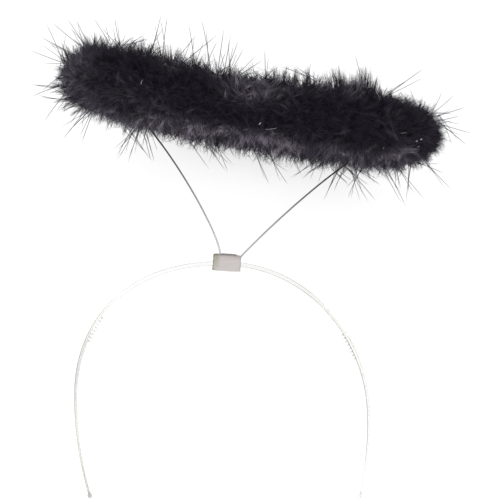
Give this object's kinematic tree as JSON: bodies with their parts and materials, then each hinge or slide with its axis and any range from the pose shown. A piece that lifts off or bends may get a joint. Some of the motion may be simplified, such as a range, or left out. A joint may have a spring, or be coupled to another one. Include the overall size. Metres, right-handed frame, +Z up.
{
  "type": "halo headband",
  "caption": "Costume halo headband: a fluffy black marabou ring held by thin steel wires in a V over a narrow clear plastic band with comb teeth.",
  "frame": {"origin": "middle of the underside of the box round the whole object, on the surface that it rests on", "axes": "+X to the right of the wearer's front view, +Y from the ends of the band towards the ring, +Z up"},
  "size_m": [0.189, 0.2232, 0.175],
  "materials": {
    "clear_plastic": "clear, glossy",
    "milky_tape": "milky, half gloss",
    "steel": "drawn wire",
    "marabou": "soft, fluffy"
  },
  "bodies": {
    "root": {"headband": "clear_plastic", "crown_wrap": "milky_tape", "left_stem": "steel", "right_stem": "steel", "ring_wire": "steel", "marabou_ring": "marabou"}
  },
  "joints": []
}
